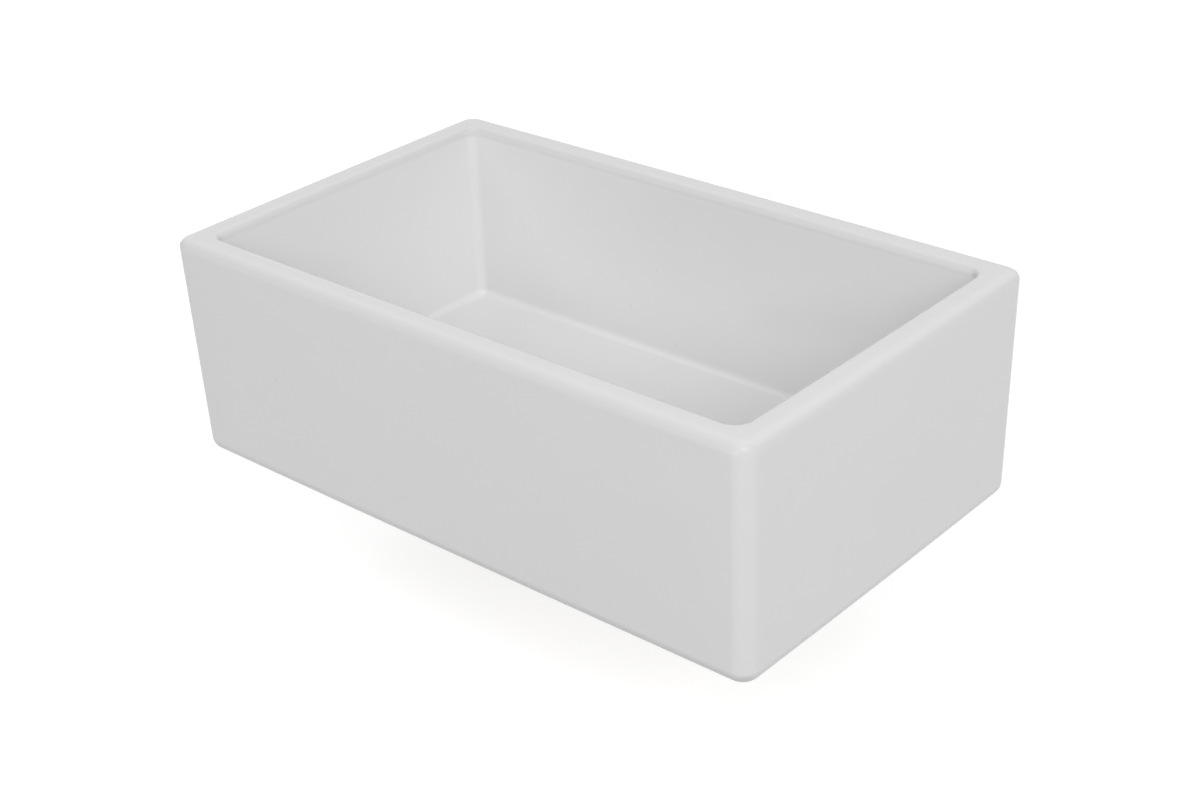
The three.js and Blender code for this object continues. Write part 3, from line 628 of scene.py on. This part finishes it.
def add_ceramic():
    top_start = HEIGHT - TOP_EDGE_HEIGHT
    inner_start = HEIGHT - RIM_INNER_RADIUS
    floor_start = FLOOR_AT_WALL + FLOOR_EDGE_RADIUS
    base = quarter_turn(
        lambda sin, cos: outer_ring(BASE_EDGE_RADIUS * (1 - sin), BASE_EDGE_RADIUS * (1 - cos))
    )
    outside = [outer_ring(0, level) for level in levels_between(BASE_EDGE_RADIUS, top_start)]
    top = quarter_turn(
        lambda sin, cos: outer_ring(TOP_EDGE_WIDTH * (1 - cos), top_start + TOP_EDGE_HEIGHT * sin)
    )
    rim = quarter_turn(
        lambda sin, cos: inner_ring(-RIM_INNER_RADIUS * (1 - sin), inner_start + RIM_INNER_RADIUS * cos)
    )
    rim_flat = blend_rings(top[-1], rim[0], RIM_FRACTIONS)
    inside = [inner_ring(0, level) for level in reversed(levels_between(floor_start, inner_start))]
    floor_edge = quarter_turn(
        lambda sin, cos: inner_ring(FLOOR_EDGE_RADIUS * (1 - cos), floor_start - FLOOR_EDGE_RADIUS * sin)
    )
    drain_section = rounded_section([
        (RECESS_RADIUS + FLOOR_STOP, FLOOR_AT_DRAIN, 0),
        (RECESS_RADIUS + RECESS_SLOPE, FLOOR_AT_DRAIN, RECESS_LIP_RADIUS),
        (RECESS_RADIUS, FLOOR_AT_DRAIN - RECESS_DEPTH, RECESS_FOOT_RADIUS),
        (DRAIN_HOLE_RADIUS, FLOOR_AT_DRAIN - RECESS_DEPTH, DRAIN_EDGE_RADIUS),
        (DRAIN_HOLE_RADIUS, SPOT_FACE_DEPTH, DRAIN_EDGE_RADIUS),
        (SPOT_FACE_RADIUS, SPOT_FACE_DEPTH, 0),
        (SPOT_FACE_RADIUS, 0, 0),
    ])
    drain = [circle_ring(radius, level) for radius, level in drain_section]
    steps = (step / FLOOR_STEPS for step in range(1, FLOOR_STEPS))
    fractions = [FLOOR_MARGIN, *steps, 1 - FLOOR_MARGIN]
    floor = blend_rings(floor_edge[-1], drain[0], fractions)
    underside = blend_rings(drain[-1], base[0], UNDERSIDE_FRACTIONS)
    rings = [*base, *outside, *top, *rim_flat, *rim, *inside, *floor_edge, *floor, *drain, *underside]
    points, faces = skin_rings(rings)
    bowl = add_mesh("fireclay_bowl", map(kiln_bowed, points), faces)
    finish_piece(bowl, "fireclay_body", "glaze", 75)


add_ceramic()

# ---- Screw threads and nuts, as changes to a turned piece's radius ----


def thread(pitch, depth, low, high, inner_radius):
    """A right-hand screw thread, cut into what lies outside a radius and between two levels."""
    pitch, depth, low, high, inner_radius = (value * MM for value in (pitch, depth, low, high, inner_radius))

    def shape(angle, radius, level):
        if radius < inner_radius or not low < level < high:
            return radius
        fade = min(1.0, (level - low) / pitch, (high - level) / pitch)
        turns = level / pitch - angle / (2 * math.pi)
        return radius - depth * fade * (0.5 - 0.5 * math.cos(2 * math.pi * turns))

    return shape


def flats(sides, across, inner_radius, blend):
    """Wrench flats, with corners at angle nought, on what lies outside a radius."""
    across, inner_radius, blend = (value * MM for value in (across, inner_radius, blend))
    sector = 2 * math.pi / sides

    def shape(angle, radius, level):
        if radius < inner_radius:
            return radius
        return soft_least(radius, across / 2 / math.cos(angle % sector - sector / 2), blend)

    return shape


def lugs(count, root, reach, width, flank, low, high, ramp):
    """Lugs that stand out from the side of a ring between two levels."""
    root, reach, width, flank = root * MM, reach * MM, width * MM, flank * MM
    low, high, ramp = low * MM, high * MM, ramp * MM
    sector = 2 * math.pi / count

    def shape(angle, radius, level):
        if radius < root:
            return radius
        from_middle = abs((angle + sector / 2) % sector - sector / 2) * root
        side = smooth_step((width / 2 + flank / 2 - from_middle) / flank)
        end = smooth_step((level - low) / ramp) * smooth_step((high - level) / ramp)
        return max(radius, root + (reach - root) * side * end)

    return shape


# ---- The strainer body: a spun cup with its cross ----

NECK_THREAD = thread(2.3, 0.9, -21.5, -4.0, 42)
OUTLET_THREAD = thread(2.2, 0.9, -50.2, -29.5, 21.5)


def strainer_threads(angle, radius, level):
    return OUTLET_THREAD(angle, NECK_THREAD(angle, radius, level), level)


def cross_outline():
    """The cross's outline: four bars that run into the outlet's wall, and the hub."""
    bar_half, reach, hub = 2 * MM, 21 * MM, 7.5 * MM
    hub_foot = math.sqrt(hub ** 2 - bar_half ** 2)
    hub_side = hub / math.sqrt(2)
    quarter = [
        (reach, -bar_half, 0),
        (reach, bar_half, 0),
        (hub_foot, bar_half, 1 * MM),
        (hub_side, hub_side, 2 * MM),
        (bar_half, hub_foot, 1 * MM),
    ]
    corners = []
    for bar in range(4):
        turn = Matrix.Rotation(0.5 * math.pi * bar, 2)
        for x, y, radius in quarter:
            corner = turn @ Vector((x, y))
            corners.append((corner.x, corner.y, radius))
    return rounded_section(corners)


def cross_rings(low, high, edge, bore):
    """Rings from the bore over the top, down the sides and back along the underside."""
    outline = cross_outline()
    normals = []
    for before, after in zip(outline[-1:] + outline[:-1], outline[1:] + outline[:1]):
        along = (after - before).normalized()
        normals.append(Vector((along.y, -along.x)))

    def ring(inset, level):
        return [Vector((*(point - normal * inset), level)) for point, normal in zip(outline, normals)]

    def bore_ring(grow, level):
        return [Vector((*(point.normalized() * (bore + grow)), level)) for point in outline]

    arc = [0.5 * math.pi * step / 4 for step in range(5)]
    rise, fall = [], []
    for angle in arc:
        rise.append((edge * (1 - math.sin(angle)), low + edge * (1 - math.cos(angle))))
        fall.append((edge * (1 - math.cos(angle)), high - edge * (1 - math.sin(angle))))
    sides = [ring(*place) for place in rise + fall]
    bore_down = ((edge, high), (0, high - edge), (0, low + edge), (edge, low))
    return [*sides, *(bore_ring(*place) for place in bore_down)]


def add_strainer_body():
    section = rounded_section(in_metres(
        (23.3, -50.6, 1), (23.3, -27.6, 2), (43.4, -22.6, 3), (43.4, 31.6, 0.4),
        (57, 31.6, 0.6), (57, 32.9, 0.9), (51.5, 33.4, 14), (41, 32.7, 4),
        (39.6, 9.6, 1.2), (39.9, 8.8, 1.2), (38.6, -12.2, 1.2), (38.9, -13, 1.2), (37.5, -23.6, 5),
        (21, -25.6, 1.5), (19, -28.6, 1.5), (19, -50.6, 1),
    ))
    section = divided(section, -21.5 * MM, -4 * MM, 42 * MM, 0.33 * MM)
    section = divided(section, -50.2 * MM, -29.5 * MM, 21.5 * MM, 0.33 * MM)
    cup_points, cup_faces = revolved(section, 144, strainer_threads)
    bars, bar_faces = skin_rings(cross_rings(low=-35.6 * MM, high=-30.6 * MM, edge=0.7 * MM, bore=4.4 * MM))
    shift = len(cup_points)
    faces = cup_faces + [tuple(corner + shift for corner in face) for face in bar_faces]
    piece = add_mesh("strainer_cup", cup_points + bars, faces)
    finish_piece(piece, "strainer_body", "stainless", 35)


add_strainer_body()

# ---- Rings, nuts and the tailpiece ----

add_turning("flange_seal", "flange_gasket", "rubber", [
    (56, 29.3, 0.9), (56, 31.3, 0.9), (44, 31.3, 0.6), (44, 29.3, 0.6),
])
add_turning("underside_seal", "underside_gasket", "rubber", [
    (55.6, -2.8, 0.6), (56, -1.5, 0.3), (55.5, -1.05, 0.2), (56, -0.6, 0.3), (55.6, 0.7, 0.6),
    (44, 0.7, 0.8), (44, -2.8, 0.8),
])
add_turning("fibre_washer", "friction_washer", "fibre", [
    (56, -4.3, 0.25), (56, -3.1, 0.25), (44, -3.1, 0.25), (44, -4.3, 0.25),
])
add_turning(
    "clamp_nut", "lock_nut", "brass",
    [
        (51, -17.6, 1.6), (51, -7.6, 1.4), (56, -7.6, 1.1), (56, -4.6, 0.9),
        (43.7, -4.6, 0.8), (43.7, -17.6, 1.2),
    ],
    segments=480,
    shape=lugs(8, 50.5, 58.5, 10.6, 1.8, -16.9, -5.0, 1.4),
    division=(-17, -5, 50, 0.5),
    sharp_degrees=50,
)
add_turning("outlet_washer", "tailpiece_washer", "nylon", [
    (22.6, -53.4, 0.5), (22.6, -50.9, 0.5), (17.85, -50.9, 0.5), (17.85, -53.4, 0.5),
])
add_turning("outlet_tube", "tailpiece", "chrome", [
    (19.05, -155.3, 0.2), (19.05, -55.7, 1.2), (22.6, -55.7, 0.8), (22.6, -53.7, 0.9),
    (17.85, -53.7, 1.2), (17.85, -155.3, 0.3),
], segments=128)
add_turning(
    "slip_nut", "coupling_nut", "chrome",
    [
        (27.5, -59, 0.5), (31.85, -56, 0.8), (31.85, -40.6, 0.8), (28.5, -38.6, 0.5),
        (23.6, -38.6, 0.6), (23.6, -56, 0), (20.45, -56, 0), (19.35, -57.1, 0), (19.35, -59, 0.6),
    ],
    segments=192,
    shape=flats(8, 57, 25, 0.5),
    division=(-59, -38.6, 26, 1.0),
    sharp_degrees=50,
)

# ---- The lift-out basket ----

BASKET_SEGMENTS = 192
SLOTS_PER_ROW = 16
SLOT_LEVELS = (-3 * MM, 10 * MM)
FLOOR_HOLES = ((14 * MM, 8), (21.5 * MM, 12))


def slot_cutter(angle, level):
    """Points and faces of a bar with a long round-ended section that crosses the basket's wall."""
    half_width, half_run, near, far = 1.5 * MM, 3 * MM, 22 * MM, 39 * MM
    outline = []
    for end, start in ((1, 0.0), (-1, math.pi)):
        for step in range(9):
            turn = start + math.pi * step / 8
            outline.append((half_width * math.cos(turn), end * half_run + half_width * math.sin(turn)))
    turn = Matrix.Rotation(angle, 3, "Z")
    points = [turn @ Vector((reach, across, level + up)) for reach in (near, far) for across, up in outline]
    count = len(outline)
    faces = [tuple(range(count)), tuple(range(2 * count - 1, count - 1, -1))]
    for i in range(count):
        j = (i + 1) % count
        faces.append((i, i + count, j + count, j))
    return points, faces


def hole_cutter(angle, reach):
    """Points and faces of a short round bar that crosses the basket's floor."""
    centre = Matrix.Rotation(angle, 3, "Z") @ Vector((reach, 0, 0))
    sides, radius, low, high = 16, 2.1 * MM, -17.5 * MM, -13.5 * MM
    points = []
    for level in (low, high):
        for step in range(sides):
            turn = 2 * math.pi * step / sides
            points.append(centre + Vector((radius * math.cos(turn), radius * math.sin(turn), level)))
    faces = [tuple(range(sides)), tuple(range(2 * sides - 1, sides - 1, -1))]
    for i in range(sides):
        j = (i + 1) % sides
        faces.append((i, i + sides, j + sides, j))
    return points, faces


def cut_away(piece, cutters):
    """The cutters' shapes are taken out of the piece, and the piece keeps the cut mesh."""
    points, faces = [], []
    for cutter_points, cutter_faces in cutters:
        shift = len(points)
        points += cutter_points
        faces += [tuple(corner + shift for corner in face) for face in cutter_faces]
    tool = add_mesh("cutter", points, faces)
    cut = piece.modifiers.new("holes", "BOOLEAN")
    cut.operation = "DIFFERENCE"
    cut.solver = "EXACT"
    cut.object = tool
    evaluated = piece.evaluated_get(bpy.context.evaluated_depsgraph_get())
    whole = piece.data
    piece.data = bpy.data.meshes.new_from_object(evaluated)
    piece.modifiers.clear()
    bpy.data.meshes.remove(whole)
    cutter_mesh = tool.data
    bpy.data.objects.remove(tool)
    bpy.data.meshes.remove(cutter_mesh)


def add_basket_cup():
    section = rounded_section(in_metres(
        (30, -16, 4), (36.2, 22.4, 0.6), (38, 22.9, 0.5), (38.2, 23.6, 0.4), (37.8, 24, 0.4),
        (35.4, 24, 1.4), (29, -15, 3), (12, -15, 1.5), (10.6, -14.4, 1.5), (3.3, -14.4, 0.2),
        (3.3, -15.2, 0.2), (10.2, -15.3, 1.5), (12, -16, 1.5),
    ), 0.5 * MM)
    piece = add_mesh("basket_shell", *revolved(section, BASKET_SEGMENTS))
    cutters = []
    for row, level in enumerate(SLOT_LEVELS):
        for i in range(SLOTS_PER_ROW):
            cutters.append(slot_cutter(2 * math.pi * (i + row / 2) / SLOTS_PER_ROW, level))
    for reach, count in FLOOR_HOLES:
        cutters += [hole_cutter(2 * math.pi * i / count, reach) for i in range(count)]
    cut_away(piece, cutters)
    finish_piece(piece, "basket_cup", "stainless", 30)


add_basket_cup()
add_turning("basket_stopper", "basket_seal", "rubber", [
    (21, -25.3, 0.8), (22.3, -24.7, 0.6), (26.6, -24.3, 0.5), (27, -23.4, 0.5), (26.8, -22.3, 0.6),
    (22.4, -21.1, 1.4), (21.5, -19.6, 0.6), (21.9, -19.2, 0.3), (21.4, -18.8, 0.6), (20, -16.3, 1.4),
    (3.3, -16.3, 0), (3.3, -25.3, 0),
])
add_turning("stopper_plate", "seal_plate", "stainless", [
    (13, -26.6, 0.4), (13, -25.6, 0.3), (3.3, -25.6, 0), (3.3, -26.6, 0.2),
])
add_turning("basket_stem", "basket_post", "stainless", [
    (0, -40.6), (3, -40.6, 1.5), (3, -34.4, 0.2), (1.8, -34.4, 0.2), (1.8, -31.8, 0.2), (3, -31.8, 0.2),
    (3, -14.7, 0.2), (6.5, -14.7, 0.8), (6.5, -12, 0.9), (3, -10, 1.2), (3, 17), (0, 17),
], segments=64)
add_turning(
    "stem_nut", "post_nut", "stainless",
    [(3.3, -29.9, 0.3), (5, -29.9), (5.77, -29.3), (5.77, -27.5), (5, -26.9), (3.3, -26.9, 0.3)],
    segments=96,
    shape=flats(6, 10, 4.8, 0.2),
    division=(-29.9, -26.9, 4.9, 0.6),
)
add_turning("stem_ring", "post_ring", "rubber", [
    (4.1, -34.1, 0.99), (4.1, -32.1, 0.99), (2.1, -32.1, 0.99), (2.1, -34.1, 0.99),
], segments=64)
add_turning("knob", "basket_knob", "chrome", [
    (4.8, 8, 0.5), (4.8, 10.4, 0.3), (4.5, 10.8, 0.2), (4.8, 11.2, 0.3), (4.8, 13, 1.6), (9.5, 15, 1.4),
    (9.5, 18.5, 1.4), (5.5, 21, 2.2), (0, 21), (0, 17.3), (3.3, 17.3), (3.3, 8, 0.3),
])

# ---- Floor, light and air ----

FLOOR_HALF_WIDTH = 6.0
FLOOR_GREY = 0.45
FLOOR_LIFT = 0.75
FLOOR_LIFT_FAR = 0.9
FLOOR_FADE = (1.2, 3.5)
FLOOR_DROP = 0.5 * MM
AMBIENT = 0.32
LAMP_AIM = Vector((0.0, 0.0, 0.15))
SOFTBOX_DISTANCE = 8.0

# Each softbox's name, azimuth and elevation in degrees, size in metres and watts.
SOFTBOXES = (
    ("low_softbox", 42, 28, 2.6, 105),
    ("key_softbox", 42, 50, 2.9, 113),
    ("front_softbox", 0, 30, 2.9, 118),
    ("left_softbox", -40, 40, 2.9, 61),
    ("right_softbox", 80, 30, 2.9, 171),
    ("right_low_softbox", 75, 10, 2.9, 33),
    ("back_softbox", -125, 40, 2.9, 78),
)


def seen_ray(tree):
    """One where the ray comes from the camera, a mirror or a glass, else nought."""
    path = tree.nodes.new("ShaderNodeLightPath")
    total = None
    for output in ("Is Camera Ray", "Is Glossy Ray", "Is Transmission Ray"):
        if total is None:
            total = path.outputs[output]
            continue
        made = tree.nodes.new("ShaderNodeMath")
        made.operation = "MAXIMUM"
        tree.links.new(total, made.inputs[0])
        tree.links.new(path.outputs[output], made.inputs[1])
        total = made.outputs[0]
    return total


def add_floor():
    """A pale floor that seen rays find lifted to white, a little more so far away, where the lamps fade."""
    level = cad_box[0][2] - FLOOR_DROP
    mesh = bpy.data.meshes.new("studio_floor")
    reach = FLOOR_HALF_WIDTH
    mesh.from_pydata(
        [(-reach, -reach, level), (reach, -reach, level), (reach, reach, level), (-reach, reach, level)],
        [],
        [(0, 1, 2, 3)],
    )
    floor = bpy.data.objects.new("studio_floor", mesh)
    bpy.context.scene.collection.objects.link(floor)
    material = bpy.data.materials.new("studio_floor")
    material.use_nodes = True
    tree = material.node_tree
    tree.nodes.clear()
    output = tree.nodes.new("ShaderNodeOutputMaterial")
    paper = tree.nodes.new("ShaderNodeBsdfDiffuse")
    paper.inputs["Color"].default_value = grey(FLOOR_GREY)
    lift = tree.nodes.new("ShaderNodeEmission")
    scaled = tree.nodes.new("ShaderNodeMath")
    scaled.operation = "MULTIPLY"
    tree.links.new(seen_ray(tree), scaled.inputs[0])
    away = tree.nodes.new("ShaderNodeVectorMath")
    away.operation = "LENGTH"
    tree.links.new(tree.nodes.new("ShaderNodeTexCoord").outputs["Object"], away.inputs[0])
    fade = tree.nodes.new("ShaderNodeMapRange")
    fade.interpolation_type = "SMOOTHSTEP"
    limits = (*FLOOR_FADE, FLOOR_LIFT, FLOOR_LIFT_FAR)
    for socket, value in zip(("From Min", "From Max", "To Min", "To Max"), limits):
        fade.inputs[socket].default_value = value
    tree.links.new(away.outputs["Value"], fade.inputs["Value"])
    tree.links.new(fade.outputs["Result"], scaled.inputs[1])
    tree.links.new(scaled.outputs[0], lift.inputs["Strength"])
    both = tree.nodes.new("ShaderNodeAddShader")
    tree.links.new(paper.outputs[0], both.inputs[0])
    tree.links.new(lift.outputs[0], both.inputs[1])
    tree.links.new(both.outputs[0], output.inputs["Surface"])
    mesh.materials.append(material)


def add_world():
    world = bpy.data.worlds.new("studio")
    bpy.context.scene.world = world
    world.use_nodes = True
    tree = world.node_tree
    background = tree.nodes["Background"]
    background.inputs["Color"].default_value = grey(1.0)
    strength = tree.nodes.new("ShaderNodeMapRange")
    strength.inputs["To Min"].default_value = AMBIENT
    strength.inputs["To Max"].default_value = 1.0
    tree.links.new(seen_ray(tree), strength.inputs["Value"])
    tree.links.new(strength.outputs["Result"], background.inputs["Strength"])


def add_softbox(name, azimuth, elevation, distance, size, watts, mirrored=False):
    """A square lamp aimed at the sink; the azimuth runs from the apron's side, 0, to the right end, 90.

    The glaze shows the mirror image of a lamp only where mirrored is set.
    """
    azimuth, elevation = math.radians(azimuth), math.radians(elevation)
    towards = Vector((
        math.sin(azimuth) * math.cos(elevation),
        -math.cos(azimuth) * math.cos(elevation),
        math.sin(elevation),
    ))
    data = bpy.data.lights.new(name, "AREA")
    data.shape = "SQUARE"
    data.size = size
    data.energy = watts
    light = bpy.data.objects.new(name, data)
    light.location = LAMP_AIM + towards * distance
    light.rotation_euler = towards.to_track_quat("Z", "Y").to_euler()
    light.visible_glossy = mirrored
    bpy.context.scene.collection.objects.link(light)


add_floor()
add_world()
for name, azimuth, elevation, size, watts in SOFTBOXES:
    add_softbox(name, azimuth, elevation, SOFTBOX_DISTANCE, size, watts)
add_softbox("spark", 55, 61, 3.2, 0.3, 8, mirrored=True)

bpy.context.scene.view_settings.view_transform = "Standard"
